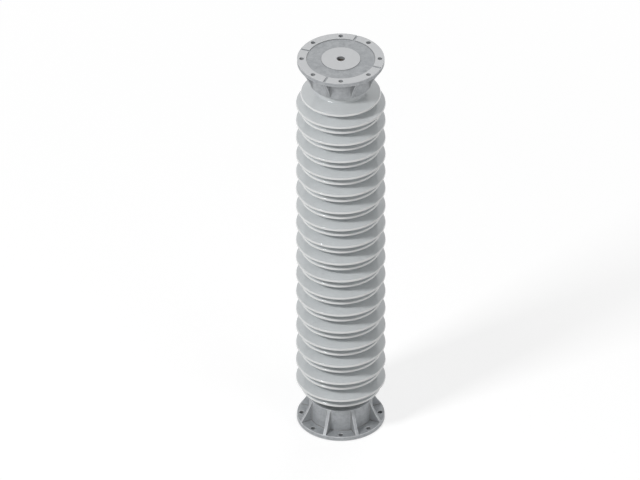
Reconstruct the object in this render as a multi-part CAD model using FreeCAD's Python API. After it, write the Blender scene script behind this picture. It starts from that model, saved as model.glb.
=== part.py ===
"""Post insulator: one solid-core porcelain unit of a substation support column.

A ribbed iron fitting is cemented on each end of the porcelain. The same casting is used at
both ends, turned over at the top. Millimetres, +Z up the column, origin at the centre of the
bottom flange face. Each piece is written to parts/ as its own solid.
"""
import FreeCAD, Part
import math
import os

# Column
overall_height = 1675.0         # from the bottom flange face to the top flange face

# Porcelain core
core_diameter = 190.0
end_edge_radius = 6.0           # rounded edge of each end face
top_neck = 36.5                 # core between the top fitting's mouth and the first shed's root
bottom_neck = 66.5              # core between the bottom fitting's mouth and the last shed's root

# Sheds, small and large ones in turn, a small one first and last
large_shed_overhang = 77.0      # from the core to the rim
small_shed_overhang = 59.0
shed_gap = 18.4                 # bare core under a large shed, before the column evens it out
shed_top_slope = 14.3           # degrees below level, outwards
shed_under_slope = 5.0          # degrees below level, outwards
shed_rim_thickness = 9.6        # square to the upper surface
rim_upper_radius = 2.6
rim_lower_radius = 2.2
root_upper_radius = 9.0         # fillet between a shed's upper surface and the core
root_under_radius = 9.0         # fillet between a shed's underside and the core

# Joint between porcelain and iron
cement_thickness = 16.4         # between core and socket wall
cushion_thickness = 3.0         # under the porcelain's end
seal_depth = 4.0                # how far the sealant reaches into the fitting's mouth
seal_rise = 5.0                 # how far it climbs the porcelain outside the mouth
seal_hollow = 1.6               # depth of the tooled hollow in its bead

# Socket of the iron fitting
fitting_height = 106.0          # from the flange face to the mouth
socket_floor_thickness = 13.0   # iron between the flange face and the cushion
socket_corner_radius = 5.0
key_depth = 3.0                 # rings cut in the socket wall that lock the cement
key_width = 12.0
key_spacing = 24.0              # before the socket evens it out
hub_base_wall = 11.0            # wall round the socket where the hub leaves the flange
hub_mouth_wall = 8.9            # the same at the mouth: the hub tapers for casting
mouth_edge_radius = 2.0

# Flange
flange_thickness = 17.0
flange_edge_radius = 1.5        # of its lower edge, and height of the bevel on its upper edge
bolt_count = 8
bolt_hole_diameter = 18.0
bolt_to_hub = 27.6              # from a bolt's axis in to the hub, gives a 300 mm bolt circle
bolt_to_edge = 17.5             # from a bolt's axis out to the flange's edge
rim_inside_bolts = 18.0         # how far the raised rim of the face reaches inside the bolts
pad_diameter = 150.0            # raised centre of the flange face
face_recess_depth = 2.5         # of the sunk ring between rim and pad
centre_hole_diameter = 31.0
centre_hole_chamfer = 1.0
drain_groove_count = 4          # across the rim, out of the sunk ring
drain_groove_width = 9.0
drain_groove_angle = 22.5       # of the first groove, from +X

# Ribs, one between each pair of bolt holes
rib_thickness = 12.0
rib_root_radius = 6.0           # upright fillet between rib and hub
rib_foot_radius = 3.0           # fillet round the foot of ribs and hub, on the flange
rib_edge_hollow = 3.5           # depth of the hollow in a rib's outer edge
rib_mouth_stand = 0.8           # how far a rib still stands out of the hub at the mouth

# Worked out from the sizes above
core_radius = core_diameter / 2
cushion_radius = core_radius - end_edge_radius
socket_radius = core_radius + cement_thickness
hub_base_radius = socket_radius + hub_base_wall
hub_mouth_radius = socket_radius + hub_mouth_wall
bolt_circle_radius = hub_base_radius + bolt_to_hub
flange_radius = bolt_circle_radius + bolt_to_edge
rim_inner_radius = bolt_circle_radius - rim_inside_bolts
porcelain_end = socket_floor_thickness + cushion_thickness
seal_foot = fitting_height - seal_depth

# For the drawing itself
FILLET_ROOM = 0.98              # share of a short side that its two fillets may fill together
LEVEL_WITHIN = 0.001            # an edge counts as lying in a level plane if it is this near

Z_AXIS = FreeCAD.Vector(0, 0, 1)
CENTRE = FreeCAD.Vector(0, 0, 0)


def at(radius, height):
    """A point of an outline beside the column's axis."""
    return FreeCAD.Vector(radius, 0, height)


def fillet_sizes(corners):
    """Length that the fillet at each corner takes from its two sides, and half the turn there.

    Where two fillets would meet on a short side, both are made smaller by the same share.
    """
    count = len(corners)
    points = [at(radius, height) for radius, height, fillet in corners]
    lengths = [0.0] * count
    half_turns = [0.0] * count
    for i in range(1, count - 1):
        arriving = points[i].sub(points[i - 1])
        leaving = points[i + 1].sub(points[i])
        half_turns[i] = arriving.getAngle(leaving) / 2
        lengths[i] = corners[i][2] * math.tan(half_turns[i])
    shares = [1.0] * count
    for i in range(count - 1):
        room = FILLET_ROOM * points[i].distanceToPoint(points[i + 1])
        wanted = lengths[i] + lengths[i + 1]
        if wanted > room:
            shares[i] = min(shares[i], room / wanted)
            shares[i + 1] = min(shares[i + 1], room / wanted)
    return [length * share for length, share in zip(lengths, shares)], half_turns


def rounded_line(corners):
    """Lines and tangent arcs along the corners (radius, height, fillet radius) of an outline."""
    lengths, half_turns = fillet_sizes(corners)
    edges = []
    last = at(corners[0][0], corners[0][1])
    for i in range(1, len(corners)):
        corner = at(corners[i][0], corners[i][1])
        if lengths[i] == 0:
            edges.append(Part.makeLine(last, corner))
            last = corner
            continue
        back = at(corners[i - 1][0], corners[i - 1][1]).sub(corner).normalize()
        onward = at(corners[i + 1][0], corners[i + 1][1]).sub(corner).normalize()
        start = corner.add(back * lengths[i])
        end = corner.add(onward * lengths[i])
        radius = lengths[i] / math.tan(half_turns[i])
        to_crown = radius / math.cos(half_turns[i]) - radius
        crown = corner.add(back.add(onward).normalize() * to_crown)
        edges.append(Part.makeLine(last, start))
        edges.append(Part.Arc(start, crown, end).toShape())
        last = end
    return edges


def hollow_arc(start, end, hollow):
    """Arc between two points of an outline that sags towards the axis by the hollow's depth."""
    chord = end.sub(start)
    inward = FreeCAD.Vector(-chord.z, 0, chord.x).normalize()
    if inward.x > 0:
        inward = inward * -1
    middle = start.add(end) * 0.5
    return Part.Arc(start, middle.add(inward * hollow), end).toShape()


def edge_round(start, corner, end):
    """Quarter circle that rounds a square corner between two points on its sides."""
    inward = start.sub(corner).add(end.sub(corner))
    return Part.Arc(start, corner.add(inward * (1 - math.sqrt(0.5))), end).toShape()


def turned(edges):
    """The solid that a closed outline sweeps round the column's axis."""
    wire = Part.Wire(Part.__sortEdges__(edges))
    return Part.Face(wire).revolve(CENTRE, Z_AXIS, 360)


def turned_corners(corners):
    """The turned solid inside a closed outline of corners."""
    edges = rounded_line(corners)
    edges.append(Part.makeLine(at(corners[-1][0], corners[-1][1]), at(corners[0][0], corners[0][1])))
    return turned(edges)


def around(shape, count, first_angle=0.0):
    """Copies of a shape, evenly spaced round the column's axis."""
    copies = []
    for i in range(count):
        copy = shape.copy()
        copy.rotate(CENTRE, Z_AXIS, first_angle + i * 360.0 / count)
        copies.append(copy)
    return copies


def turned_over(shape):
    """A piece of the bottom end as it stands at the top end."""
    copy = shape.copy()
    copy.rotate(CENTRE, FreeCAD.Vector(1, 0, 0), 180)
    copy.translate(FreeCAD.Vector(0, 0, overall_height))
    return copy


def shed_corners(root_height, overhang):
    """Outline of one shed, down from its root: upper surface, rim and underside.

    The rim's lower corner lies a little outside the overhang, which its rounding then meets.
    """
    top = math.radians(shed_top_slope)
    under = math.radians(shed_under_slope)
    rounded_off = (math.cos(under) + math.sin(top)) / math.cos(top + under) - 1
    lower_reach = overhang + rim_lower_radius * rounded_off
    upper_reach = lower_reach - shed_rim_thickness * math.sin(top)
    upper_edge = root_height - upper_reach * math.tan(top)
    lower_edge = upper_edge - shed_rim_thickness * math.cos(top)
    under_root = lower_edge + lower_reach * math.tan(under)
    return [
        (core_radius, root_height, root_upper_radius),
        (core_radius + upper_reach, upper_edge, rim_upper_radius),
        (core_radius + lower_reach, lower_edge, rim_lower_radius),
        (core_radius, under_root, root_under_radius),
    ]


def porcelain_body():
    """The solid core with all its sheds, turned in one piece."""
    first_root = overall_height - fitting_height - top_neck
    last_root = fitting_height + bottom_neck
    large_shed = shed_corners(0.0, large_shed_overhang)
    wanted_spacing = large_shed[0][1] - large_shed[-1][1] + shed_gap
    pairs = max(1, round((first_root - last_root) / wanted_spacing / 2))
    spacing = (first_root - last_root) / (2 * pairs)
    top_end = overall_height - porcelain_end
    corners = [(0.0, top_end, 0.0), (core_radius, top_end, end_edge_radius)]
    for i in range(2 * pairs + 1):
        overhang = small_shed_overhang if i % 2 == 0 else large_shed_overhang
        corners += shed_corners(first_root - i * spacing, overhang)
    corners += [(core_radius, porcelain_end, end_edge_radius), (0.0, porcelain_end, 0.0)]
    return turned_corners(corners)


def rib_outline(hub_radius, height):
    """Plan of the hub and its ribs: hub arcs, root fillets, rib sides and round rib ends.

    The ribs run on past the flange's edge, and are trimmed back to it afterwards.
    """
    side = rib_thickness / 2
    rib_end = flange_radius + rib_thickness
    fillet_y = side + rib_root_radius
    fillet_x = math.sqrt((hub_radius + rib_root_radius) ** 2 - fillet_y ** 2)
    hub_share = hub_radius / (hub_radius + rib_root_radius)
    fillet_turn = math.atan2(fillet_x, fillet_y) / 2
    crown_x = fillet_x - rib_root_radius * math.sin(fillet_turn)
    crown_y = fillet_y - rib_root_radius * math.cos(fillet_turn)
    half_step = math.pi / bolt_count
    next_x = math.cos(2 * half_step) * fillet_x * hub_share
    next_x += math.sin(2 * half_step) * fillet_y * hub_share
    next_y = math.sin(2 * half_step) * fillet_x * hub_share
    next_y -= math.cos(2 * half_step) * fillet_y * hub_share

    def plan(x, y):
        return FreeCAD.Vector(x, y, height)

    one_rib = [
        Part.Arc(plan(fillet_x * hub_share, -fillet_y * hub_share), plan(crown_x, -crown_y),
                 plan(fillet_x, -side)).toShape(),
        Part.makeLine(plan(fillet_x, -side), plan(rib_end, -side)),
        Part.Arc(plan(rib_end, -side), plan(rib_end + side, 0), plan(rib_end, side)).toShape(),
        Part.makeLine(plan(rib_end, side), plan(fillet_x, side)),
        Part.Arc(plan(fillet_x, side), plan(crown_x, crown_y),
                 plan(fillet_x * hub_share, fillet_y * hub_share)).toShape(),
        Part.Arc(plan(fillet_x * hub_share, fillet_y * hub_share),
                 plan(hub_radius * math.cos(half_step), hub_radius * math.sin(half_step)),
                 plan(next_x, next_y)).toShape(),
    ]
    edges = []
    for i in range(bolt_count):
        for edge in one_rib:
            copy = edge.copy()
            copy.rotate(CENTRE, Z_AXIS, (i + 0.5) * 360.0 / bolt_count)
            edges.append(copy)
    return Part.Wire(Part.__sortEdges__(edges))


def fitting_envelope():
    """All that lies inside the flange's edge and the ribs' hollow outer edges.

    The hollow runs on down to the flange, whose upper edge it bevels between the ribs.
    """
    mouth_radius = hub_mouth_radius + rib_mouth_stand
    rim = flange_edge_radius
    lip = mouth_edge_radius
    rib_foot = at(flange_radius, flange_thickness - rim)
    rib_head = at(mouth_radius, fitting_height - lip)
    return turned([
        Part.makeLine(at(0, 0), at(flange_radius - rim, 0)),
        edge_round(at(flange_radius - rim, 0), at(flange_radius, 0), at(flange_radius, rim)),
        Part.makeLine(at(flange_radius, rim), rib_foot),
        hollow_arc(rib_foot, rib_head, rib_edge_hollow),
        edge_round(rib_head, at(mouth_radius, fitting_height),
                   at(mouth_radius - lip, fitting_height)),
        Part.makeLine(at(mouth_radius - lip, fitting_height), at(0, fitting_height)),
        Part.makeLine(at(0, fitting_height), at(0, 0)),
    ])


def socket_line(top):
    """Outline of the socket below the given height: floor, wall and key rings, then inwards."""
    room = seal_foot - socket_floor_thickness
    key_count = max(1, int(room / key_spacing))
    slant = key_depth / 2
    corners = [(0.0, socket_floor_thickness, 0.0),
               (socket_radius, socket_floor_thickness, socket_corner_radius)]
    for i in range(key_count):
        middle = socket_floor_thickness + room * (i + 0.5) / key_count
        corners += [
            (socket_radius, middle - key_width / 2, 0.0),
            (socket_radius + key_depth, middle - key_width / 2 + slant, 0.0),
            (socket_radius + key_depth, middle + key_width / 2 - slant, 0.0),
            (socket_radius, middle + key_width / 2, 0.0),
        ]
    return corners + [(socket_radius, top, 0.0), (0.0, top, 0.0)]


def fitting():
    """The iron casting as it stands at the bottom end: flange, hub, ribs, socket and holes."""
    slab = Part.makeCylinder(flange_radius + 2 * rib_thickness, flange_thickness)
    hub_and_ribs = Part.makeLoft([
        rib_outline(hub_base_radius, flange_thickness),
        rib_outline(hub_mouth_radius, fitting_height),
    ], True, True)
    blank = slab.fuse(hub_and_ribs)
    feet = [edge for edge in blank.Edges
            if abs(edge.BoundBox.ZMin - flange_thickness) < LEVEL_WITHIN
            and abs(edge.BoundBox.ZMax - flange_thickness) < LEVEL_WITHIN
            and edge.BoundBox.XLength < flange_radius]
    casting = blank.makeFillet(rib_foot_radius, feet).common(fitting_envelope())

    hole_radius = centre_hole_diameter / 2
    centre_hole = turned_corners([
        (0.0, 0.0, 0.0),
        (hole_radius + centre_hole_chamfer, 0.0, 0.0),
        (hole_radius, centre_hole_chamfer, 0.0),
        (hole_radius, socket_floor_thickness, 0.0),
        (0.0, socket_floor_thickness, 0.0),
    ])
    sunk_ring = turned_corners([
        (pad_diameter / 2, 0.0, 0.0),
        (rim_inner_radius, 0.0, 0.0),
        (rim_inner_radius, face_recess_depth, 0.0),
        (pad_diameter / 2, face_recess_depth, 0.0),
    ])
    bolt_hole = Part.makeCylinder(bolt_hole_diameter / 2, flange_thickness, at(bolt_circle_radius, 0))
    groove_start = (rim_inner_radius + pad_diameter / 2) / 2
    drain_groove = Part.makeBox(flange_radius + drain_groove_width - groove_start,
                                drain_groove_width, face_recess_depth,
                                FreeCAD.Vector(groove_start, -drain_groove_width / 2, 0))
    cuts = [turned_corners(socket_line(fitting_height)), centre_hole, sunk_ring]
    cuts += around(bolt_hole, bolt_count)
    cuts += around(drain_groove, drain_groove_count, drain_groove_angle)
    return casting.cut(cuts)


def cushion():
    """Disc that keeps the porcelain's end face off the iron."""
    return Part.makeCylinder(cushion_radius, cushion_thickness, at(0, socket_floor_thickness))


def cement(porcelain):
    """What fills the socket round porcelain and cushion, up to the foot of the sealant."""
    return turned_corners(socket_line(seal_foot)).cut([porcelain, cushion()])


def seal():
    """Ring of sealant over the cement, tooled to a hollow bead that throws water off."""
    mouth_edge = at(socket_radius, fitting_height)
    bead_top = at(core_radius, fitting_height + seal_rise)
    foot = [(core_radius, fitting_height + seal_rise, 0.0), (core_radius, seal_foot, 0.0),
            (socket_radius, seal_foot, 0.0), (socket_radius, fitting_height, 0.0)]
    return turned(rounded_line(foot) + [hollow_arc(mouth_edge, bead_top, seal_hollow)])


porcelain = porcelain_body()
casting = fitting()
bottom_cement = cement(porcelain)
pieces = {
    "porcelain_body": porcelain,
    "bottom_fitting": casting,
    "bottom_cushion": cushion(),
    "bottom_cement": bottom_cement,
    "bottom_seal": seal(),
    "top_fitting": turned_over(casting),
    "top_cushion": turned_over(cushion()),
    "top_cement": turned_over(bottom_cement),
    "top_seal": turned_over(seal()),
}

os.makedirs("parts", exist_ok=True)
for name, shape in pieces.items():
    solid = shape.Solids[0]
    if len(shape.Solids) != 1 or not solid.isValid():
        raise ValueError(name + " is not one sound solid")
    solid.exportStep("parts/" + name + ".step")
    print(name, round(solid.Volume / 1000), "cm3", len(solid.Faces), "faces")
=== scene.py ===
"""Post insulator: a glazed porcelain column with a ribbed iron fitting cemented on each end.

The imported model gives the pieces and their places. Porcelain, fittings and sealant are drawn again as fine
surfaces of the same sizes, and every piece gets its finish. Metres, +Z up the column, origin at the centre
of the bottom flange face.
"""

import math

import bmesh
import bpy
import numpy as np
from bpy.props import FloatProperty, FloatVectorProperty, IntProperty, PointerProperty
from bpy.types import NodeSocket, Operator, Panel, PropertyGroup, Scene
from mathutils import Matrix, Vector


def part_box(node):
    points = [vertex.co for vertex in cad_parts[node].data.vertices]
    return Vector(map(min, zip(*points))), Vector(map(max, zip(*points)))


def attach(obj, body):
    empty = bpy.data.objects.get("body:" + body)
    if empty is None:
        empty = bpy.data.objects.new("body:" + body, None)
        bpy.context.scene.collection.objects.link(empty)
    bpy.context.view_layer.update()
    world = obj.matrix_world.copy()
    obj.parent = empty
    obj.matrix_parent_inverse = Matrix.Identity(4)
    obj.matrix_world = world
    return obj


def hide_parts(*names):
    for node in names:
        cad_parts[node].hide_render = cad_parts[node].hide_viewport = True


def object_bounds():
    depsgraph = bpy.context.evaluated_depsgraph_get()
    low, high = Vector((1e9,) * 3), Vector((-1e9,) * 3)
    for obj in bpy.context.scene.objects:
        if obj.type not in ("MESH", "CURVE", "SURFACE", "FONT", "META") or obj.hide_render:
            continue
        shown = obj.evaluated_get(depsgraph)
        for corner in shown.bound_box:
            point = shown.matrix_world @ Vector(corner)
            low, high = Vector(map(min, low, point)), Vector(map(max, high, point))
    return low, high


bl_info = {
    "name": "Post insulator",
    "version": (1, 0, 0),
    "blender": (4, 5, 0),
    "location": "View3D > Sidebar > Insulator",
    "description": "Draws a porcelain post insulator with its iron fittings",
    "category": "Add Mesh",
}

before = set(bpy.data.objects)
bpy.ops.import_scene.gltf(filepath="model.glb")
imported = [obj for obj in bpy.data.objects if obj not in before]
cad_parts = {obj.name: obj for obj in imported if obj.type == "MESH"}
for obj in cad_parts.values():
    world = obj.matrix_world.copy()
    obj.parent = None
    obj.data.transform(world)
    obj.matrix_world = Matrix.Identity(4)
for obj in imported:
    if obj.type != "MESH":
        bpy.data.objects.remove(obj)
CAD_BOX = [list(corner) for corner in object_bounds()]
PORCELAIN_LOW, PORCELAIN_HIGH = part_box("porcelain_body")
FITTING_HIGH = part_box("bottom_fitting")[1]
SEAL_LOW, SEAL_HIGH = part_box("bottom_seal")
COLUMN_TOP = CAD_BOX[1][2]
ENDS = ("bottom", "top")

# Points closer than this are one point when surfaces are sewn together
SEW_WITHIN = 2e-6
# Edges that turn more than this stay crisp
CRISP_TURN = math.radians(31)
# Bends sharper than this, in radians turned along a metre, count as this sharp
SHARPEST_BEND = 150.0

# Steps round the column and round each of the outline's corners
COLUMN_STEPS = 128
CORNER_STEPS = 4

# Steps across the sealant's bead, and its waves: size, number round the column, and starting turn
BEAD_STEPS = 10
BEAD_WAVES = ((1.0, 3, 0.0), (0.6, 7, 1.0), (0.5, 17, 2.0))

# Steps of a fitting's surface, from a rib's middle to the line of the next bolt
RIB_END = 4
RIB_EDGE = 5
RIB_SIDE = 8
RIB_ROOT = 8
HUB_GAP = 9
RIM_TOP = 14
GROOVE_LENGTH = 6
FOOT_RISE = 5
WALL_RISE = 18
LIP_RISE = 5
HOLE_RISE = 5
EDGE_TURNS = 4
# A groove's steps take the place of some on the rim and on the inner arc, so that all seams have equal counts
GROOVE_WIDTH = RIB_END + GROOVE_LENGTH // 2
RIM_FACE = RIM_TOP - GROOVE_LENGTH // 2
INNER_ARC = RIB_EDGE + RIB_SIDE + RIB_ROOT + HUB_GAP - GROOVE_LENGTH // 2
# Places of the rings of points between a bolt hole and the edge of the face round it
FACE_RINGS = (0.0, 0.15, 0.5, 0.85, 1.0)
# Power that draws the inner arc's points together towards the bolt's line
ARC_CROWDING = 1.4
# Widths in metres of the strips of points that hold the grime and painted shade in the sunk ring's corners
# and bolt holes
CORNER_STRIP = 0.003
HOLE_STRIP = 0.001
# Radii in metres of the mouth's inner edge, and of the pad's edge and its foot
MOUTH_INNER_EDGE = 0.001
PAD_EDGE = 0.0004
# Share of the socket corner that is rounded, so that the round ends short of the floor's point
CORNER_SHARE = 0.999

# How far in metres the turned faces reach in from the column's two ends, and where the cast skin is full
TURNED_DEPTH = 0.0003
CAST_DEPTH = 0.0006

# Between these lie nearly all values of a noise, and of the zinc's mottle
NOISE_RANGE = (0.3, 0.7)
MOTTLE_RANGE = (0.25, 0.75)
# Share of the mottle that comes from crystals, the rest from patches
CRYSTAL_SHARE = 0.2

# The mix node's sockets for colours, which share their names with those for numbers
MIX_COLOURS = (6, 7)
MIX_COLOUR_OUT = 2
WHITE = (1.0, 1.0, 1.0, 1.0)

# Lamps: place, width in metres, and whether gloss reflects them
LAMPS = {
    "key": ((-5.6, -4.4, 7.4), 1.7, True),
    "fill": ((7.6, -5.5, 6.4), 8.0, False),
    "back": ((3.2, 8.6, 8.2), 8.0, False),
}
# The floor lies a little below the foot, so that the two faces stay apart
FLOOR_LEVEL = -0.0002
CAMERA_DISTANCE = 8.0


def length(name, description, default):
    """A length that a user may change, in metres."""
    return FloatProperty(name=name, description=description, default=default, unit="LENGTH", precision=5)


def angle(name, description, degrees):
    """An angle that a user may change."""
    return FloatProperty(name=name, description=description, default=math.radians(degrees), unit="ROTATION")


def colour(name, description, default):
    """A colour that a user may change, as linear red, green and blue."""
    return FloatVectorProperty(name=name, description=description, default=default, size=3,
                               subtype="COLOR", min=0.0, max=1.0)


def share(name, description, default):
    """A plain number from 0 to 1."""
    return FloatProperty(name=name, description=description, default=default, min=0.0, max=1.0)


class PorcelainSizes(PropertyGroup):
    """Sizes of the turned porcelain."""
    core_diameter: length("Core", "Diameter between the sheds", 0.190)
    end_edge: length("End edge", "Rounding of each end face's edge", 0.006)
    shed_count: IntProperty(name="Sheds", default=35, min=3,
                            description="Small and large sheds together, small ones at the ends")
    first_root: length("First root", "Height of the uppermost shed's root", 1.5325)
    last_root: length("Last root", "Height of the lowest shed's root", 0.1725)
    large_rim: length("Large sheds", "Diameter over the large sheds", 2 * PORCELAIN_HIGH.x)
    small_rim: length("Small sheds", "Diameter over the small sheds", 0.308)
    top_slope: angle("Top slope", "Fall of a shed's upper surface", 14.3)
    under_slope: angle("Under slope", "Fall of a shed's underside", 5.0)
    rim_thickness: length("Rim thickness", "Thickness of a shed at its rim", 0.0096)
    rim_upper_radius: length("Rim, upper radius", "Rounding of a rim's upper edge", 0.0026)
    rim_lower_radius: length("Rim, lower radius", "Rounding of a rim's lower edge", 0.0022)
    root_radius: length("Root radius", "Fillet between a shed and the core", 0.009)


class FittingSizes(PropertyGroup):
    """Sizes of the iron fitting, the same casting at both ends."""
    height: length("Height", "From the flange face to the mouth", FITTING_HIGH.z)
    flange_diameter: length("Flange", "Diameter of the flange", 2 * FITTING_HIGH.x)
    flange_thickness: length("Flange thickness", "Thickness of the flange", 0.017)
    flange_edge: length("Flange edge", "Rounding of the lower edge and height of the upper bevel", 0.0015)
    bolt_count: IntProperty(name="Bolts", default=8, min=3,
                            description="Number of bolt holes, with a rib between each two")
    bolt_circle: length("Bolt circle", "Diameter of the bolt circle", 0.300)
    bolt_hole: length("Bolt hole", "Diameter of a bolt hole", 0.018)
    hole_edge: length("Hole edge", "Width of each hole's broken edge", 0.0006)
    rim_inside: length("Face rim", "Inner diameter of the face's raised rim", 0.264)
    pad: length("Face pad", "Diameter of the face's raised centre", 0.150)
    recess: length("Face recess", "Depth of the sunk ring and the drain grooves", 0.0025)
    groove_width: length("Drain groove", "Width of the groove at every other rib", 0.009)
    centre_hole: length("Centre hole", "Diameter of the centre hole", 0.031)
    centre_edge: length("Centre hole edge", "Chamfer of the centre hole", 0.001)
    hub_base: length("Hub foot", "Diameter of the hub on the flange", 0.2448)
    hub_mouth: length("Hub mouth", "Diameter of the hub at the mouth", 0.2406)
    socket: length("Socket", "Diameter of the socket", 0.2228)
    socket_floor: length("Socket floor", "Iron between the flange face and the cushion", 0.013)
    socket_corner: length("Socket corner", "Rounding of the socket's corner", 0.005)
    key_spacing: length("Key spacing", "Distance between rings in the socket wall", 0.02967)
    key_width: length("Key width", "Width of a ring in the socket wall", 0.012)
    key_depth: length("Key depth", "Depth of a ring in the socket wall", 0.003)
    mouth_edge: length("Mouth edge", "Rounding of the mouth's outer edge", 0.002)
    rib_thickness: length("Rib", "Thickness of a rib", 0.012)
    rib_root: length("Rib root", "Upright fillet between rib and hub", 0.006)
    rib_foot: length("Rib foot", "Fillet round the foot of ribs and hub", 0.003)
    rib_hollow: length("Rib hollow", "Depth of the hollow in a rib's outer edge", 0.0035)
    rib_edge: length("Rib edge", "Rounding of a rib's two outer edges", 0.0018)
    rib_stand: length("Rib stand", "How far a rib stands out of the hub at the mouth", 0.0008)


class SealSizes(PropertyGroup):
    """Sizes of the sealant ring in each mouth."""
    outer_diameter: length("Outside", "Diameter of the ring in the mouth", 2 * SEAL_HIGH.x)
    foot: length("Foot", "Height of the ring's foot above the flange face", SEAL_LOW.z)
    rise: length("Rise", "Height of the bead's top above the flange face", SEAL_HIGH.z)
    hollow: length("Hollow", "Depth of the tooled hollow", 0.0016)
    waver: length("Waver", "How far the hand-tooled edge wanders", 0.0004)


class FinishColours(PropertyGroup):
    """Colours of the finishes, linear."""
    glaze: colour("Glaze", "Pale grey glaze", (0.66, 0.685, 0.695))
    glaze_pooled: colour("Pooled glaze", "Glaze where it gathers in the roots", (0.52, 0.55, 0.565))
    glaze_thin: colour("Thin glaze", "Glaze drawn thin over the rims", (0.78, 0.785, 0.775))
    glaze_speck: colour("Glaze speck", "Iron specks in the glaze", (0.25, 0.24, 0.22))
    zinc_light: colour("Zinc, light", "Light crystals of the zinc coat", (0.46, 0.475, 0.49))
    zinc_dark: colour("Zinc, dark", "Dark crystals of the zinc coat", (0.34, 0.355, 0.37))
    machined: colour("Turned faces", "Pale turned faces of the flanges", (0.60, 0.61, 0.62))
    # Paler rubbed edges: wear, and also a painted highlight along the edges
    zinc_wear_and_highlight: colour("Worn zinc", "Rubbed edges of the castings", (0.68, 0.69, 0.70))
    # Dark corners: grime, and also painted shade in the corners and bolt holes
    zinc_grime_and_shade: colour("Grime", "What gathers in the castings' corners", (0.16, 0.16, 0.155))
    sealant: colour("Sealant", "Grey sealant", (0.30, 0.31, 0.315))
    cement: colour("Cement", "Set cement", (0.45, 0.44, 0.41))
    cork: colour("Cork", "Cork cushion, coated with bitumen", (0.10, 0.075, 0.055))


class StageSettings(PropertyGroup):
    """Floor, light and camera."""
    floor_width: length("Floor", "Width of the floor", 60.0)
    floor_colour: colour("Floor colour", "Colour for the light that it throws back", (0.80, 0.80, 0.80))
    floor_shade: colour("Floor shade", "What takes the shadow where the floor is seen", (0.40, 0.40, 0.40))
    floor_glow: share("Floor glow", "White added to the floor where it is seen", 0.70)
    foot_shade: length("Foot shade", "Width within which the floor's white comes back", 0.012)
    shadow_near: length("Shadow, full", "Distance from the axis up to which the shadow is full", 0.8)
    shadow_far: length("Shadow, gone", "Distance from the axis where the floor is plain white", 3.5)
    sky_strength: share("Sky light", "Light from all round", 0.30)
    key_power: FloatProperty(name="Key power", description="Main lamp, in watts", default=470.0)
    fill_power: FloatProperty(name="Fill power", description="Fill lamp, in watts", default=205.0)
    back_power: FloatProperty(name="Back power", description="Lamp behind, in watts", default=215.0)
    elevation: angle("Camera elevation", "Height of the view above level", 35.264)
    metres_per_pixel: length("Photo scale", "Size of one pixel of the photo on the object", 0.003829)
    photo_width: IntProperty(name="Photo width", description="In pixels", default=640)
    photo_height: IntProperty(name="Photo height", description="In pixels", default=480)
    axis_column: FloatProperty(name="Axis column", description="Pixel column of the axis", default=340.8)
    foot_row: FloatProperty(name="Foot row", description="Pixel row of the foot's centre", default=415.7)


# Shapes: grids of points worked out as whole arrays

def unit(vectors):
    """Vectors of length 1 in the same directions."""
    return vectors / np.linalg.norm(vectors, axis=-1, keepdims=True)


def ramp(first, last, steps):
    """Even steps from first to last. A column of firsts or lasts gives one row of steps for each."""
    return first + (last - first) * np.linspace(0.0, 1.0, steps + 1)


def rounded(corners, radii, steps):
    """Outline (points, 2) through the corners, with an arc in place of each inner one.

    The sides leave a corner C along unit vectors a and b, and the outline turns by w. The arc of radius r
    touches them r tan(w/2) away from C, and its centre O is C + (a + b)/|a + b| r / cos(w/2). With u and v
    the arms from O to the touching points, its point at share t is O + (u sin((1-t)w) + v sin(tw)) / sin(w).
    """
    inner = corners[1:-1]
    back = unit(corners[:-2] - inner)
    onward = unit(corners[2:] - inner)
    turn = np.pi - np.arccos(np.clip((back * onward).sum(axis=1), -1.0, 1.0))[:, None]
    radius = np.array(radii)[1:-1, None]
    centre = inner + unit(back + onward) * radius / np.cos(turn / 2)
    first_arm = inner + back * radius * np.tan(turn / 2) - centre
    last_arm = inner + onward * radius * np.tan(turn / 2) - centre
    along = np.linspace(0.0, 1.0, steps + 1)[None, :, None]
    turn = turn[:, :, None]
    arms = np.sin((1 - along) * turn) * first_arm[:, None] + np.sin(along * turn) * last_arm[:, None]
    arcs = centre[:, None] + arms / np.sin(turn)
    return np.concatenate([corners[:1], arcs.reshape(-1, 2), corners[-1:]])


def turned(outline, angles):
    """Surface (points, angles, 3) that an outline of (radius, height) sweeps: (r cos a, r sin a, z)."""
    radius, height = outline[:, :1], outline[:, 1:]
    return lifted(polar(radius, np.atleast_2d(angles)), height)


def polar(radius, angles):
    """Points in plan, (r cos a, r sin a)."""
    return np.stack(np.broadcast_arrays(radius * np.cos(angles), radius * np.sin(angles)), axis=-1)


def lifted(plan, height):
    """Points in plan (rows, points, 2) set at a height, one for all or one for each row."""
    level = np.broadcast_to(height, plan.shape[:-1])[..., None]
    return np.concatenate([plan, level], axis=-1)


def shed_corners(sizes, roots, overhangs):
    """Corners (sheds, 4, 2) of all sheds: root, upper and lower edge of the rim, and root under the shed.

    From its root the upper surface falls by the top slope, the rim stands square to it, and the underside
    climbs back by the under slope. The lower corner lies so far out that its rounding reaches the overhang.
    """
    top, under = sizes.top_slope, sizes.under_slope
    rounded_off = (math.cos(under) + math.sin(top)) / math.cos(top + under) - 1
    lower = overhangs + sizes.rim_lower_radius * rounded_off
    upper = lower - sizes.rim_thickness * math.sin(top)
    upper_height = roots - upper * math.tan(top)
    lower_height = upper_height - sizes.rim_thickness * math.cos(top)
    under_height = lower_height + lower * math.tan(under)
    radius = sizes.core_diameter / 2 + np.stack([0 * roots, upper, lower, 0 * roots], axis=1)
    return np.stack([radius, np.stack([roots, upper_height, lower_height, under_height], axis=1)], axis=-1)


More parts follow.
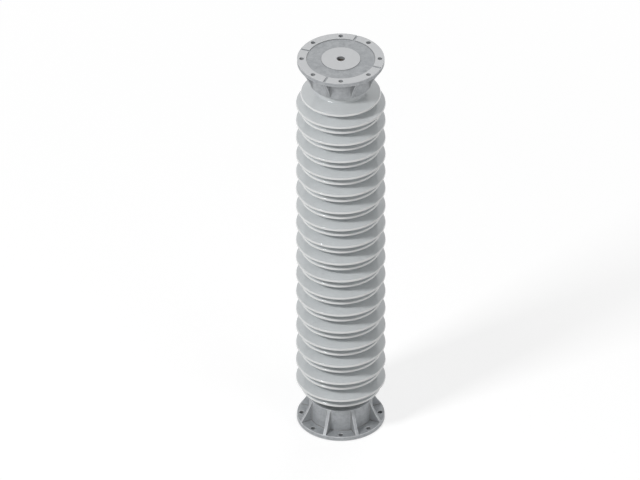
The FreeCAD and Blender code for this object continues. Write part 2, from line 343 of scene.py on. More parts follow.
def porcelain_grid(sizes):
    """Surface of the turned porcelain, and how the glaze lies on it: 1 drawn thin, -1 pooled, 0 even."""
    core = sizes.core_diameter / 2
    roots = np.linspace(sizes.first_root, sizes.last_root, sizes.shed_count)
    large = np.arange(sizes.shed_count) % 2 == 1
    overhangs = np.where(large, sizes.large_rim, sizes.small_rim) / 2 - core
    sheds = shed_corners(sizes, roots, overhangs).reshape(-1, 2)
    top, bottom = PORCELAIN_HIGH.z, PORCELAIN_LOW.z
    corners = np.concatenate([[(0, top), (core, top)], sheds, [(core, bottom), (0, bottom)]])
    shed_radii = [sizes.root_radius, sizes.rim_upper_radius, sizes.rim_lower_radius, sizes.root_radius]
    radii = [0, sizes.end_edge] + shed_radii * sizes.shed_count + [sizes.end_edge, 0]
    outline = rounded(corners, radii, CORNER_STEPS)
    along = np.linspace(0.0, 1.0, CORNER_STEPS + 1)
    even = 0 * along
    one_shed = np.concatenate([-np.sin(np.pi * along), along, 1 - along, -np.sin(np.pi * along)])
    lie = np.concatenate([[0], even, np.tile(one_shed, sizes.shed_count), even, [0]])
    angles = ramp(0.0, 2 * np.pi, COLUMN_STEPS)
    return turned(outline, angles), np.broadcast_to(lie[:, None], (len(lie), len(angles)))


def fitting_reach(sizes, height):
    """Radius of the ribs' hollow outer edges at a height, an arc that sags towards the axis by the hollow.

    The chord c runs from the flange's edge to the mouth; an arc that sags by h has radius c^2/8h + h/2.
    """
    flange = sizes.flange_diameter / 2
    mouth = sizes.hub_mouth / 2 + sizes.rib_stand
    foot_height = sizes.flange_thickness - sizes.flange_edge
    head_height = sizes.height - sizes.mouth_edge
    inward, upward = flange - mouth, head_height - foot_height
    chord = math.hypot(inward, upward)
    radius = chord ** 2 / (8 * sizes.rib_hollow) + sizes.rib_hollow / 2
    to_centre = (radius - sizes.rib_hollow) / chord
    centre_radius = (flange + mouth) / 2 + upward * to_centre
    centre_height = (foot_height + head_height) / 2 + inward * to_centre
    hollow = centre_radius - np.sqrt(radius ** 2 - (np.minimum(height, head_height) - centre_height) ** 2)
    over = np.clip(height - head_height, 0, sizes.mouth_edge)
    lip = mouth - sizes.mouth_edge + np.sqrt(sizes.mouth_edge ** 2 - over ** 2)
    return np.where(height > head_height, lip, hollow)


def rib_plan(sizes, hub, reach, flare):
    """Plan (heights, points, 2) of half a rib and half the hub wall up to the bolt's line.

    Along it: the rib's end on the circle of the reach, its rounded edge, its side at half its thickness, the
    root fillet, and the hub's circle. The foot fillet flares all of it outwards, and there the edge's
    rounding runs out. What would lie beyond the reach is drawn back onto it, towards the axis.
    """
    side = sizes.rib_thickness / 2 + flare
    root = sizes.rib_root - flare
    edge = sizes.rib_edge * (1 - flare / sizes.rib_foot)
    root_y = side + root
    root_x = np.sqrt((hub + root) ** 2 - root_y ** 2)
    edge_y = side - edge
    edge_x = np.maximum(np.sqrt((reach - edge) ** 2 - edge_y ** 2), root_x)
    end_angle = np.arctan2(edge_y, edge_x)
    gap_angle = np.arctan2(root_y, root_x)
    edge_turn = ramp(end_angle, np.pi / 2, RIB_EDGE)
    root_turn = ramp(-np.pi / 2, gap_angle - np.pi, RIB_ROOT)
    side_x = ramp(edge_x, root_x, RIB_SIDE)
    plan = np.concatenate([
        polar(reach, ramp(0 * end_angle, end_angle, RIB_END)),
        (np.stack([edge_x, edge_y], axis=-1) + polar(edge, edge_turn))[:, 1:],
        np.stack([side_x, np.broadcast_to(side, side_x.shape)], axis=-1)[:, 1:],
        (np.stack([root_x, root_y], axis=-1) + polar(root, root_turn))[:, 1:],
        polar(hub, ramp(gap_angle, np.pi / sizes.bolt_count, HUB_GAP))[:, 1:],
    ], axis=1)
    distance = np.linalg.norm(plan, axis=-1, keepdims=True)
    return plan * np.minimum(1.0, reach[:, :, None] / distance)


def ribbed_wall(sizes):
    """Heights, reach and plan of the wall of rib and hub, from the foot fillet up to the rounded mouth.

    At a turn t round the foot fillet of radius r the wall has risen by r (1 - cos t) and still flares by
    r (1 - sin t). Round the mouth's edge it rises by that edge's radius times sin t.
    """
    thickness, mouth_foot = sizes.flange_thickness, sizes.height - sizes.mouth_edge
    foot_turn = np.linspace(0.0, np.pi / 2, FOOT_RISE + 1)
    mouth_turn = np.linspace(0.0, np.pi / 2, LIP_RISE + 1)[1:]
    height = np.concatenate([
        thickness + sizes.rib_foot * (1 - np.cos(foot_turn)),
        ramp(thickness + sizes.rib_foot, mouth_foot, WALL_RISE)[1:],
        mouth_foot + sizes.mouth_edge * np.sin(mouth_turn),
    ])[:, None]
    flare = np.zeros_like(height)
    flare[:FOOT_RISE + 1, 0] = sizes.rib_foot * (1 - np.sin(foot_turn))
    climbed = (height - thickness) / (sizes.height - thickness)
    hub = (sizes.hub_base + (sizes.hub_mouth - sizes.hub_base) * climbed) / 2 + flare
    reach = fitting_reach(sizes, height)
    return height, reach, rib_plan(sizes, hub, reach, flare)


def rim_angles(sizes, radius, first, steps):
    """Angles along a circle outside the bolts, from the first to the bolt's line, even as seen from the bolt.

    A ray from the bolt's axis, b away from the column's, at a turn d from the outward line meets the circle
    r at the distance sqrt(r^2 - b^2 sin^2 d) - b cos d.
    """
    bolt, bolt_line = sizes.bolt_circle / 2, np.pi / sizes.bolt_count
    first_turn = np.arctan2(radius * np.sin(bolt_line - first), radius * np.cos(bolt_line - first) - bolt)
    turn = ramp(first_turn, 0.0, steps)
    away = np.sqrt(radius ** 2 - (bolt * np.sin(turn)) ** 2) - bolt * np.cos(turn)
    return bolt_line - np.arctan2(away * np.sin(turn), bolt + away * np.cos(turn))


def ring_to_loop(centre, radius, loop, height):
    """Flat surface between a hole's edge and a loop of points round it, along straight spokes."""
    hole = centre + unit(loop - centre) * radius
    spokes = np.array(FACE_RINGS)[:, None, None]
    return lifted(hole + spokes * (loop - hole), height)


def spoke_angles(centre, loop):
    """Angles at which the points of a loop are seen from its centre, without a jump."""
    return np.unwrap(np.arctan2(loop[:, 1] - centre[1], loop[:, 0] - centre[0]))


def bolt_hole_wall(sizes, bolt, top_loop, face_loop):
    """Wall of a bolt hole with its two broken edges, down from the flange's upper face to the flange face.

    Its angles ease from those of the upper face's spokes to those of the flange face's.
    """
    edge, strip = sizes.hole_edge, sizes.hole_edge + HOLE_STRIP
    narrow, thickness = sizes.bolt_hole / 2, sizes.flange_thickness
    radius = np.array([narrow + edge] + [narrow] * (HOLE_RISE + 3) + [narrow + edge])[:, None]
    height = np.concatenate([[thickness, thickness - edge],
                             ramp(thickness - strip, strip, HOLE_RISE), [edge, 0.0]])[:, None]
    eased = np.concatenate([[0, 0], ramp(0.0, 1.0, HOLE_RISE), [1, 1]])[:, None]
    top_spokes, face_spokes = spoke_angles(bolt, top_loop), spoke_angles(bolt, face_loop)
    return lifted(bolt + polar(radius, top_spokes + eased * (face_spokes - top_spokes)), height)


def groove_grids(sizes, depth, across, rim_radius, rim_height):
    """Grids of half a drain groove, or of the flush face in its place, and the plan of the groove's side.

    First comes the flange's edge over it, whose rows stop at the groove's floor. A line at a distance y
    from the groove's middle meets a circle r at x = sqrt(r^2 - y^2).
    """
    end_radius = np.where(rim_height < depth, sizes.flange_diameter / 2, rim_radius)
    over = lifted(polar(end_radius, np.arcsin(across / end_radius)), np.maximum(rim_height, depth))
    along = ramp(0.0, 1.0, GROOVE_LENGTH)
    start_x = np.sqrt((sizes.rim_inside / 2) ** 2 - across ** 2)
    end_x = np.sqrt(end_radius[-1, 0] ** 2 - across ** 2)
    floor_x = start_x + along[:, None] * (end_x - start_x)
    floor = lifted(np.stack([floor_x, np.broadcast_to(across, floor_x.shape)], axis=-1), depth)
    side_end = np.sqrt(rim_radius[1:] ** 2 - across[-1] ** 2)
    side_x = start_x[-1] + along * (side_end - start_x[-1])
    side = np.stack([side_x, np.full_like(side_x, across[-1])], axis=-1)
    walls = [lifted(side, rim_height[1:])] if depth > 0 else []
    return [over, floor] + walls, side


def fitting_half_step(sizes, groove_depth):
    """Grids of the fitting from a rib's middle, at angle 0, to the line of the next bolt.

    Two grids that meet have the same points on their seam, so that they can be sewn.
    """
    height, reach, wall = ribbed_wall(sizes)
    grids = [lifted(wall, height)]

    # Flange's upper face round the bolt hole
    thickness, recess, edge = sizes.flange_thickness, sizes.recess, sizes.flange_edge
    bolt_line = np.pi / sizes.bolt_count
    bolt = sizes.bolt_circle / 2 * np.array([np.cos(bolt_line), np.sin(bolt_line)])
    hole = sizes.bolt_hole / 2 + sizes.hole_edge
    top_radius = reach[0, 0]
    end_angle = math.atan2(wall[0, RIB_END, 1], wall[0, RIB_END, 0])
    top_rim = rim_angles(sizes, top_radius, end_angle, RIM_TOP)
    top_loop = np.concatenate([wall[0, :RIB_END - 1:-1], polar(top_radius, top_rim)[1:]])
    grids.append(ring_to_loop(bolt, hole, top_loop, thickness))

    # Flange's edge down to just above the grooves, where its points slide over to those of the face
    flange = sizes.flange_diameter / 2
    across = ramp(0.0, sizes.groove_width / 2, GROOVE_WIDTH)
    edge_turn = np.linspace(0.0, np.pi / 2, EDGE_TURNS + 1)
    slid_height = (recess + thickness) / 2
    rim_radius = np.concatenate([[flange, flange], flange - edge + edge * np.cos(edge_turn)])[:, None]
    rim_height = np.concatenate([[slid_height, recess], edge - edge * np.sin(edge_turn)])[:, None]
    face_rim = rim_angles(sizes, rim_radius, np.arcsin(across[-1] / rim_radius), RIM_FACE)
    top_angles = np.concatenate([ramp(0.0, end_angle, RIB_END), top_rim[1:]])
    slid_angles = np.concatenate([np.arcsin(across / flange), face_rim[0, 1:]])
    upper_outline = np.array([(top_radius, thickness), (flange, thickness - edge), (flange, slid_height)])
    grids.append(turned(upper_outline, np.stack([top_angles, top_angles, slid_angles])))
    grids.append(lifted(polar(rim_radius, face_rim), rim_height))
    groove, groove_side = groove_grids(sizes, groove_depth, across, rim_radius, rim_height)
    grids += groove

    # Flange face round the bolt hole, and the hole's wall
    inside = sizes.rim_inside / 2
    groove_angles = np.arcsin(across / inside)
    crowded = np.linspace(1.0, 0.0, INNER_ARC + 1) ** ARC_CROWDING
    inner_arc = bolt_line - (bolt_line - groove_angles[-1]) * crowded
    face_loop = np.concatenate([
        polar(inside, inner_arc)[::-1], groove_side[-1, 1:], polar(rim_radius[-1], face_rim[-1])[1:]])
    grids.append(ring_to_loop(bolt, hole, face_loop, 0.0))
    grids.append(bolt_hole_wall(sizes, bolt, top_loop, face_loop))

    # Inner wall of the rim, with as many rows as a groove's side
    inner_wall = np.concatenate([np.full_like(rim_height[1:], inside), rim_height[1:]], axis=1)
    if groove_depth < recess:
        grids.append(turned(inner_wall, groove_angles))
    grids.append(turned(inner_wall, inner_arc))

    # Socket from the mouth inwards, its floor, the centre hole, the pad and the sunk ring
    mouth_angles = np.arctan2(wall[-1, :, 1], wall[-1, :, 0])
    face_angles = np.concatenate([groove_angles, inner_arc[1:]])
    grids.append(turned(socket_outline(sizes, reach[-1, 0]), mouth_angles))
    floor_outline = np.array([(sizes.socket / 2 - sizes.socket_corner, sizes.socket_floor),
                              (sizes.centre_hole / 2, sizes.socket_floor)])
    grids.append(turned(floor_outline, np.stack([mouth_angles, face_angles])))
    grids.append(turned(face_outline(sizes), face_angles))
    return grids


def socket_outline(sizes, mouth_radius):
    """Outline from the mouth's edge down the socket wall with its key rings, and round its corner.

    The rings stand evenly between the sealant and the floor. Each has sides that slant by half its depth.
    """
    socket, floor, depth, corner = sizes.socket / 2, sizes.socket_floor, sizes.key_depth, sizes.socket_corner
    room = SEAL_LOW.z - floor
    keys = max(1, round(room / sizes.key_spacing))
    middles = floor + room * (np.arange(keys)[::-1] + 0.5) / keys
    half_key, slant = sizes.key_width / 2, depth / 2
    rises = np.array([half_key, half_key - slant, slant - half_key, -half_key])
    depths = np.array([0.0, depth, depth, 0.0])
    rings = np.stack(np.broadcast_arrays(socket + depths, middles[:, None] + rises), axis=-1).reshape(-1, 2)
    corners = np.concatenate([[(mouth_radius, sizes.height), (socket, sizes.height)], rings,
                              [(socket, floor), (socket - corner, floor)]])
    radii = [0.0, MOUTH_INNER_EDGE] + [0.0] * len(rings) + [CORNER_SHARE * corner, 0.0]
    return rounded(corners, radii, EDGE_TURNS)


def face_outline(sizes):
    """Outline from the socket floor down the centre hole, over the pad and along the sunk ring."""
    hole, edge, pad, rim = sizes.centre_hole / 2, sizes.centre_edge, sizes.pad / 2, sizes.rim_inside / 2
    corners = np.array([(hole, sizes.socket_floor), (hole, edge), (hole + edge, 0.0), (pad, 0.0),
                        (pad, sizes.recess), (pad + CORNER_STRIP, sizes.recess)])
    line = rounded(corners, [0.0, 0.0, 0.0, PAD_EDGE, PAD_EDGE, 0.0], EDGE_TURNS)
    return np.concatenate([line, [(rim - CORNER_STRIP, sizes.recess), (rim, sizes.recess)]])


def fitting_grids(sizes):
    """Grids of the whole bottom fitting: the half step, mirrored and turned to each rib."""
    plain = fitting_half_step(sizes, 0.0)
    grooved = fitting_half_step(sizes, sizes.recess)
    grids = []
    for rib in range(sizes.bolt_count):
        turn = (rib + 0.5) * 2 * math.pi / sizes.bolt_count
        for side in (1.0, -1.0):
            rows = np.array([(math.cos(turn), math.sin(turn), 0.0),
                             (-side * math.sin(turn), side * math.cos(turn), 0.0), (0.0, 0.0, 1.0)])
            grids += [grid @ rows for grid in (grooved if rib % 2 == 0 else plain)]
    return grids


def seal_grid(sizes, inner):
    """Sealant ring: foot and sides plain, the bead's face sagging by the hollow and wandering a little.

    The bead runs from the mouth to the porcelain of the inner radius. At a share t of the way it sags by
    4 t (1 - t) times the hollow, square to that line. Its inner edge lies a waver below the rise, plus half a
    waver times the sum of the waves s sin(n a + b) round the column.
    """
    outer, mouth = sizes.outer_diameter / 2, FITTING_HIGH.z
    angles = ramp(0.0, 2 * np.pi, COLUMN_STEPS)
    wander = sum(size * np.sin(number * angles + start) for size, number, start in BEAD_WAVES)
    top = sizes.rise + sizes.waver * (0.5 * wander - 1.0)
    share_in = np.linspace(0.0, 1.0, BEAD_STEPS + 1)[:, None]
    sag = 4 * share_in * (1 - share_in) * sizes.hollow
    slope = math.atan2(sizes.rise - mouth, outer - inner)
    bead_radius = outer + share_in * (inner - outer) - sag * math.sin(slope)
    bead_height = mouth + share_in * (top - mouth) - sag * math.cos(slope)
    bead = lifted(polar(bead_radius, angles[None, :]), bead_height)
    closing = turned(np.array([(outer, mouth), (outer, sizes.foot), (inner, sizes.foot)]), angles)
    last = np.stack([closing[-1], bead[-1]])
    return [bead, closing, last]


def turned_over(grids):
    """The bottom end's grids as they stand at the top end: (x, -y, H - z)."""
    return [grid * (1.0, -1.0, -1.0) + (0.0, 0.0, COLUMN_TOP) for grid in grids]


def sewn(name, grids, glaze=None):
    """Mesh object made of grids of points: neighbours form quads, and points that meet become one."""
    points = np.concatenate([grid.reshape(-1, 3) for grid in grids])
    quads = []
    first = 0
    for grid in grids:
        rows, columns = grid.shape[:2]
        index = first + np.arange(rows * columns).reshape(rows, columns)
        quads.append(np.stack([index[:-1, :-1], index[:-1, 1:], index[1:, 1:], index[1:, :-1]], axis=-1))
        first += rows * columns
    mesh = bpy.data.meshes.new(name)
    mesh.from_pydata(points.tolist(), [], np.concatenate([q.reshape(-1, 4) for q in quads]).tolist())
    if glaze is not None:
        note_on_points(mesh, "glaze", glaze.ravel())
    work = bmesh.new()
    work.from_mesh(mesh)
    bmesh.ops.remove_doubles(work, verts=work.verts, dist=SEW_WITHIN)
    bmesh.ops.recalc_face_normals(work, faces=work.faces)
    work.to_mesh(mesh)
    work.free()
    note_bends(mesh)
    mesh.shade_smooth()
    mesh.set_sharp_from_angle(angle=CRISP_TURN)
    piece = bpy.data.objects.new(name, mesh)
    bpy.context.scene.collection.objects.link(piece)
    piece.modifiers.new("even_shading", "WEIGHTED_NORMAL").keep_sharp = True
    return piece


def note_on_points(mesh, name, values):
    """Keeps a number for each point of a mesh under a name."""
    mesh.attributes.new(name, "FLOAT", "POINT").data.foreach_set("value", values.astype(np.float32))


def note_bends(mesh):
    """Notes how sharply the surface bends at each point: below 0 on edges, above 0 in corners, 0 on the flat.

    It is the mean of n . d / (d . d), held within the sharpest bend, over the edges that leave the point,
    with n its normal and d the way along the edge. On a round of radius r that is 1/2r along it, 0 across.
    """
    count = len(mesh.vertices)
    places = np.empty(3 * count)
    normals = np.empty(3 * count)
    edges = np.empty(2 * len(mesh.edges), dtype=int)
    mesh.vertices.foreach_get("co", places)
    mesh.vertices.foreach_get("normal", normals)
    mesh.edges.foreach_get("vertices", edges)
    places, normals, edges = places.reshape(-1, 3), normals.reshape(-1, 3), edges.reshape(-1, 2)
    starts, ends = np.concatenate([edges, edges[:, ::-1]]).T
    ways = places[ends] - places[starts]
    turns = (normals[starts] * ways).sum(axis=1) / (ways ** 2).sum(axis=1)
    turns = np.clip(turns, -SHARPEST_BEND, SHARPEST_BEND)
    note_on_points(mesh, "bend", np.bincount(starts, turns, count) / np.bincount(starts, minlength=count))


def dressed(piece, finish, slot_name, *nodes):
    """Gives a new piece its finish and its place on the frame, and hides the nodes that it stands for."""
    piece.data.materials.append(finish)
    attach(piece, "root")
    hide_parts(*nodes)


# Finishes

def new_finish(name):
    """An empty node material: its tree, its shader and the object's coordinates."""
    finish = bpy.data.materials.new(name)
    finish.use_nodes = True
    tree = finish.node_tree
    shader = tree.nodes["Principled BSDF"]
    place = add(tree, "TexCoord", {}).outputs["Object"]
    return finish, tree, shader, place


def plugged(tree, node, inputs):
    """Gives a node its inputs. Each is a value to set or an output to link."""
    for key, value in inputs.items():
        if isinstance(value, NodeSocket):
            tree.links.new(value, node.inputs[key])
        else:
            node.inputs[key].default_value = value
    return node


def add(tree, kind, inputs, **settings):
    """Adds a shader node with its settings and inputs."""
    made = tree.nodes.new("ShaderNode" + kind)
    for key, value in settings.items():
        setattr(made, key, value)
    return plugged(tree, made, inputs)


def noise(tree, place, grains, detail=3.0):
    """Value of a noise with the given number of grains to the metre."""
    return add(tree, "TexNoise", {"Vector": place, "Scale": grains, "Detail": detail}).outputs["Fac"]


def dragged(tree, place, grains):
    """Value of a noise whose grains to the metre differ by axis."""
    stretched = add(tree, "Mapping", {"Vector": place, "Scale": grains}).outputs["Vector"]
    return noise(tree, stretched, grains=1.0, detail=2.0)


def maths(tree, operation, first, second=0.0, clamp=False):
    """Result of one operation."""
    return add(tree, "Math", {0: first, 1: second}, operation=operation, use_clamp=clamp).outputs[0]


def spread(tree, value, between=NOISE_RANGE, to=(0.0, 1.0)):
    """A value's range moved to another, with the ends held."""
    inputs = {"Value": value, "From Min": between[0], "From Max": between[1],
              "To Min": to[0], "To Max": to[1]}
    return add(tree, "MapRange", inputs).outputs["Result"]


def blended(tree, amount, first, second):
    """Colour between two, each a colour or an output."""
    inputs = {0: amount, MIX_COLOURS[0]: four(first), MIX_COLOURS[1]: four(second)}
    return add(tree, "Mix", inputs, data_type="RGBA").outputs[MIX_COLOUR_OUT]


def four(value):
    """A colour with its alpha, or an output as it is."""
    return value if isinstance(value, NodeSocket) else (*value, 1.0)


def dimmed(value, tone):
    """A colour with each of its parts multiplied by a tone."""
    return [tone * part for part in value]


def bumped(tree, height, depth, below=None):
    """Normal of a surface raised by a height times a depth in metres, on top of another such normal."""
    inputs = {"Height": height, "Distance": depth}
    if below is not None:
        inputs["Normal"] = below
    return add(tree, "Bump", inputs).outputs["Normal"]


def glaze_finish(colours):
    """Glossy pale glaze: pooled in the roots, thin over the rims, faintly clouded, with fine iron specks."""
    finish, tree, shader, place = new_finish("glaze")
    lie = add(tree, "Attribute", {}, attribute_name="glaze").outputs["Fac"]
    clouds = spread(tree, noise(tree, place, grains=14.0, detail=4.0))
    even = blended(tree, clouds, colours.glaze, dimmed(colours.glaze, tone=0.96))
    thin = spread(tree, lie, between=(0.0, 1.0), to=(0.0, 0.75))
    pooled = spread(tree, lie, between=(0.0, -1.0), to=(0.0, 0.8))
    over_rims = blended(tree, thin, even, colours.glaze_thin)
    in_roots = blended(tree, pooled, over_rims, colours.glaze_pooled)
    specks = spread(tree, noise(tree, place, grains=420.0, detail=1.0), between=(0.73, 0.78), to=(0.0, 0.45))
    turning_marks = bumped(tree, dragged(tree, place, grains=(12.0, 12.0, 260.0)), depth=0.00012)
    waves = noise(tree, place, grains=30.0, detail=2.0)
    plugged(tree, shader, {
        "Base Color": blended(tree, specks, in_roots, colours.glaze_speck),
        "Roughness": spread(tree, noise(tree, place, grains=60.0), to=(0.12, 0.20)),
        "Specular IOR Level": 0.15,
        "IOR": 1.52,
        "Coat Weight": 1.0,
        "Coat Roughness": 0.03,
        "Normal": bumped(tree, waves, depth=0.0010, below=turning_marks),
    })
    return finish


def zinc_finish(colours):
    """Hot-dip zinc on cast iron over a sandy skin: mottled, worn with a painted highlight on edges, grimy
    with painted shade in corners.

    The two flange faces are turned: even, paler and a little duller, with the tool's fine rings.
    """
    finish, tree, shader, place = new_finish("zinc_coat")
    height = add(tree, "SeparateXYZ", {"Vector": place}).outputs["Z"]
    middle = COLUMN_TOP / 2
    from_middle = maths(tree, "ABSOLUTE", maths(tree, "SUBTRACT", height, middle))
    machined = spread(tree, from_middle, between=(middle - CAST_DEPTH, middle - TURNED_DEPTH))
    as_cast = maths(tree, "SUBTRACT", 1.0, machined)
    cells = add(tree, "TexVoronoi", {"Vector": place, "Scale": 190.0, "Smoothness": 0.3}, feature="SMOOTH_F1")
    crystal = add(tree, "SeparateColor", {"Color": cells.outputs["Color"]}).outputs["Red"]
    patches = noise(tree, place, grains=48.0, detail=5.0)
    mottle = maths(tree, "ADD", maths(tree, "MULTIPLY", crystal, CRYSTAL_SHARE),
                   maths(tree, "MULTIPLY", patches, 1.0 - CRYSTAL_SHARE))
    amount = spread(tree, mottle, between=MOTTLE_RANGE)
    cast_zinc = blended(tree, amount, colours.zinc_dark, colours.zinc_light)
    face_zinc = blended(tree, machined, cast_zinc, colours.machined)

    # Grime with painted shade in corners, and wear with a painted highlight on edges, where the surface bends
    bend = add(tree, "Attribute", {}, attribute_name="bend").outputs["Fac"]
    unevenly = spread(tree, patches, between=(0.3, 0.6), to=(0.5, 1.0))
    # Painted shade, with grime: darker where the surface bends into a corner, and in the bolt holes
    corner_grime_and_shade = maths(tree, "MULTIPLY", spread(tree, bend, between=(12.0, 60.0), to=(0.0, 0.8)), unevenly)
    # Painted highlight, with wear: paler where the surface bends over an edge, on the cast faces only
    edge_wear_and_highlight = maths(tree, "MULTIPLY", spread(tree, bend, between=(-25.0, -70.0), to=(0.0, 0.9)), as_cast)
    uneven_wear_and_highlight = maths(tree, "MULTIPLY", edge_wear_and_highlight, unevenly)
    with_grime_and_shade = blended(tree, corner_grime_and_shade, face_zinc, colours.zinc_grime_and_shade)

    # The tool's rings, then the sandy skin and its shallow dents
    duller = maths(tree, "MULTIPLY", machined, 0.06)
    rings = add(tree, "TexWave", {"Vector": place, "Scale": 300.0}, wave_type="RINGS", rings_direction="Z")
    turning = bumped(tree, maths(tree, "MULTIPLY", rings.outputs["Fac"], machined), depth=0.00003)
    sand = maths(tree, "MULTIPLY", noise(tree, place, grains=620.0, detail=4.0), as_cast)
    dents = maths(tree, "MULTIPLY", noise(tree, place, grains=110.0), as_cast)
    skin = bumped(tree, sand, depth=0.00035, below=turning)
    plugged(tree, shader, {
        "Base Color": blended(tree, uneven_wear_and_highlight, with_grime_and_shade, colours.zinc_wear_and_highlight),
        "Metallic": 0.45,
        "Roughness": maths(tree, "ADD", spread(tree, mottle, between=MOTTLE_RANGE, to=(0.60, 0.46)), duller),
        "Normal": bumped(tree, dents, depth=0.0009, below=skin),
    })
    return finish


def sealant_finish(colours):
    """Set grey sealant, dull, with the marks of the tool that smoothed it."""
    finish, tree, shader, place = new_finish("sealant")
    patches = noise(tree, place, grains=40.0)
    plugged(tree, shader, {
        "Base Color": blended(tree, patches, colours.sealant, dimmed(colours.sealant, tone=0.8)),
        "Roughness": spread(tree, patches, to=(0.45, 0.6)),
        "Normal": bumped(tree, dragged(tree, place, grains=(30.0, 30.0, 500.0)), depth=0.0006),
    })
    return finish


def cement_finish(colours):
    """Set cement: sandy, with pale and dark grains."""
    finish, tree, shader, place = new_finish("cement")
    sand = noise(tree, place, grains=300.0, detail=5.0)
    amount = spread(tree, sand, between=(0.35, 0.65))
    plugged(tree, shader, {
        "Base Color": blended(tree, amount, colours.cement, dimmed(colours.cement, tone=0.6)),
        "Roughness": 0.9,
        "Normal": bumped(tree, sand, depth=0.0008),
    })
    return finish


def cork_finish(colours):
    """Pressed cork: grains of several browns."""
    finish, tree, shader, place = new_finish("cork")
    cells = add(tree, "TexVoronoi", {"Vector": place, "Scale": 380.0})
    shade = add(tree, "SeparateColor", {"Color": cells.outputs["Color"]}).outputs["Red"]
    plugged(tree, shader, {
        "Base Color": blended(tree, shade, colours.cork, dimmed(colours.cork, tone=0.35)),
        "Roughness": 0.85,
        "Normal": bumped(tree, cells.outputs["Distance"], depth=0.0008),
    })
    return finish


def floor_finish(stage):
    """Pale floor that keeps shadows. Eye, gloss and glass see white added to it, but not under the foot.

    Far from the object they see plain white, so that no edge of a lamp's light shows there.
    """
    finish, tree, shader, place = new_finish("floor")
    tree.nodes.remove(shader)
    from_axis = add(tree, "VectorMath", {0: place}, operation="LENGTH").outputs["Value"]
    foot = CAD_BOX[1][0]
    near = spread(tree, from_axis, between=(foot - stage.foot_shade, foot), to=(0.0, stage.floor_glow))
    away = spread(tree, from_axis, between=(stage.shadow_near, stage.shadow_far))
    fading = blended(tree, away, stage.floor_shade, (0.0, 0.0, 0.0))
    bright = maths(tree, "ADD", near, maths(tree, "MULTIPLY", away, 1.0 - stage.floor_glow))
    paint = add(tree, "BsdfDiffuse", {"Color": four(stage.floor_colour)}).outputs[0]
    shade = add(tree, "BsdfDiffuse", {"Color": fading}).outputs[0]
    glow = add(tree, "Emission", {"Strength": bright}).outputs[0]
    white = add(tree, "AddShader", {0: shade, 1: glow}).outputs[0]
    mixed = add(tree, "MixShader", {0: seen_ray(tree), 1: paint, 2: white}).outputs[0]
    plugged(tree, tree.nodes["Material Output"], {"Surface": mixed})
    return finish


def seen_ray(tree):
    """1 for rays from the camera, a gloss or a glass, and 0 for those that only carry light."""
    path = add(tree, "LightPath", {}).outputs
    gloss = maths(tree, "ADD", path["Is Camera Ray"], path["Is Glossy Ray"])
    return maths(tree, "ADD", gloss, path["Is Transmission Ray"], clamp=True)


def white_sky(stage):
    """World that lights the object softly and looks white to eye, gloss and glass."""
    world = bpy.data.worlds.new("sky")
    world.use_nodes = True
    tree = world.node_tree
    tree.nodes.clear()
    soft, white = [add(tree, "Background", {"Color": WHITE, "Strength": strength}).outputs[0]
                   for strength in (stage.sky_strength, 1.0)]
    mixed = add(tree, "MixShader", {0: seen_ray(tree), 1: soft, 2: white}).outputs[0]
    add(tree, "OutputWorld", {"Surface": mixed})
    bpy.context.scene.world = world


def placed(name, data, place, backward):
    """Lamp or camera at a place, looking against the backward direction, with +Y up."""
    made = bpy.data.objects.new(name, data)
    made.location = place
    made.rotation_euler = (-backward).to_track_quat("-Z", "Y").to_euler()
    bpy.context.scene.collection.objects.link(made)
    return made


def soft_lamp(name, power, place, width, in_gloss):
    """Square lamp that faces the column's middle, and that gloss reflects or not."""
    data = bpy.data.lights.new(name, "AREA")
    data.size = width
    data.energy = power
    lamp = placed(name, data, place, Vector(place) - Vector((0.0, 0.0, COLUMN_TOP / 2)))
    lamp.visible_glossy = in_gloss


def photo_camera(stage):
    """Camera of the photo: an orthographic view along +Y from above, framed by the photo's own pixels."""
    data = bpy.data.cameras.new("camera")
    data.type = "ORTHO"
    scale = stage.metres_per_pixel
    data.ortho_scale = stage.photo_width * scale
    tilt = stage.elevation
    upward = Vector((0.0, math.sin(tilt), math.cos(tilt)))
    back = Vector((0.0, -math.cos(tilt), math.sin(tilt)))
    right = (stage.photo_width / 2 - stage.axis_column) * scale
    up = (stage.foot_row - stage.photo_height / 2) * scale
    place = Vector((right, 0.0, 0.0)) + upward * up + back * CAMERA_DISTANCE
    bpy.context.scene.camera = placed("camera", data, place, back)


class INSULATOR_OT_porcelain(Operator):
    """Turns the porcelain with all its sheds"""
    bl_idname = "insulator.porcelain"
    bl_label = "Porcelain"

    def execute(self, context):
        surface, glaze = porcelain_grid(context.scene.insulator_porcelain)
        piece = sewn("glazed_porcelain", [surface], glaze)
        dressed(piece, glaze_finish(context.scene.insulator_colours), "porcelain", "porcelain_body")
        return {"FINISHED"}


class INSULATOR_OT_fittings(Operator):
    """Draws the ribbed iron fittings at both ends"""
    bl_idname = "insulator.fittings"
    bl_label = "Iron fittings"

    def execute(self, context):
        grids = fitting_grids(context.scene.insulator_fitting)
        finish = zinc_finish(context.scene.insulator_colours)
        for end, shape in zip(ENDS, (grids, turned_over(grids))):
            dressed(sewn(end + "_casting", shape), finish, "iron", end + "_fitting")
        return {"FINISHED"}


class INSULATOR_OT_seals(Operator):
    """Lays the sealant ring in each mouth"""
    bl_idname = "insulator.seals"
    bl_label = "Sealant"

    def execute(self, context):
        core = context.scene.insulator_porcelain.core_diameter / 2
        grids = seal_grid(context.scene.insulator_seal, core)
        finish = sealant_finish(context.scene.insulator_colours)
        for end, shape in zip(ENDS, (grids, turned_over(grids))):
            dressed(sewn(end + "_sealant", shape), finish, "sealant", end + "_seal")
        return {"FINISHED"}


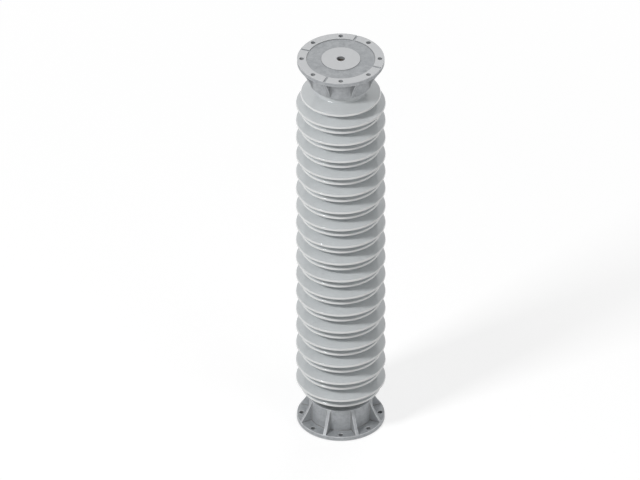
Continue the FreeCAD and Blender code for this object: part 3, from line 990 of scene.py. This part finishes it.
class INSULATOR_OT_fillings(Operator):
    """Gives the cement and the cushions of the model their finish"""
    bl_idname = "insulator.fillings"
    bl_label = "Cement and cushions"

    def execute(self, context):
        colours = context.scene.insulator_colours
        finishes = {"cement": cement_finish(colours), "cushion": cork_finish(colours)}
        for end in ENDS:
            for kind, finish in finishes.items():
                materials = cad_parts[end + "_" + kind].data.materials
                materials.clear()
                materials.append(finish)
        return {"FINISHED"}


class INSULATOR_OT_stage(Operator):
    """Sets the floor, the lamps, the sky and the camera"""
    bl_idname = "insulator.stage"
    bl_label = "Stage"

    def execute(self, context):
        stage = context.scene.insulator_stage
        half, level = stage.floor_width / 2, FLOOR_LEVEL
        corners = [(-half, -half, level), (half, -half, level), (half, half, level), (-half, half, level)]
        mesh = bpy.data.meshes.new("floor")
        mesh.from_pydata(corners, [], [(0, 1, 2, 3)])
        mesh.materials.append(floor_finish(stage))
        floor = bpy.data.objects.new("floor", mesh)
        context.scene.collection.objects.link(floor)
        white_sky(stage)
        for name, settings in LAMPS.items():
            soft_lamp(name, getattr(stage, name + "_power"), *settings)
        context.scene.view_settings.view_transform = "Standard"
        photo_camera(stage)
        return {"FINISHED"}


class INSULATOR_PT_panel(Panel):
    """Steps of the insulator, in order"""
    bl_idname = "INSULATOR_PT_panel"
    bl_label = "Post insulator"
    bl_space_type = "VIEW_3D"
    bl_region_type = "UI"
    bl_category = "Insulator"

    def draw(self, context):
        for step in STEPS:
            self.layout.operator(step.bl_idname)


STEPS = (INSULATOR_OT_porcelain, INSULATOR_OT_fittings, INSULATOR_OT_seals, INSULATOR_OT_fillings,
         INSULATOR_OT_stage)
SETTINGS = {
    "insulator_porcelain": PorcelainSizes,
    "insulator_fitting": FittingSizes,
    "insulator_seal": SealSizes,
    "insulator_colours": FinishColours,
    "insulator_stage": StageSettings,
}


def register():
    """Registers the settings, the steps and the panel."""
    for name, group in SETTINGS.items():
        bpy.utils.register_class(group)
        setattr(Scene, name, PointerProperty(type=group))
    for step in STEPS:
        bpy.utils.register_class(step)
    bpy.utils.register_class(INSULATOR_PT_panel)


def unregister():
    """Takes back what register did."""
    bpy.utils.unregister_class(INSULATOR_PT_panel)
    for step in reversed(STEPS):
        bpy.utils.unregister_class(step)
    for name, group in SETTINGS.items():
        delattr(Scene, name)
        bpy.utils.unregister_class(group)


def main():
    """Builds everything in order."""
    register()
    bpy.ops.insulator.porcelain()
    bpy.ops.insulator.fittings()
    bpy.ops.insulator.seals()
    bpy.ops.insulator.fillings()
    bpy.ops.insulator.stage()


if __name__ == "__main__":
    main()
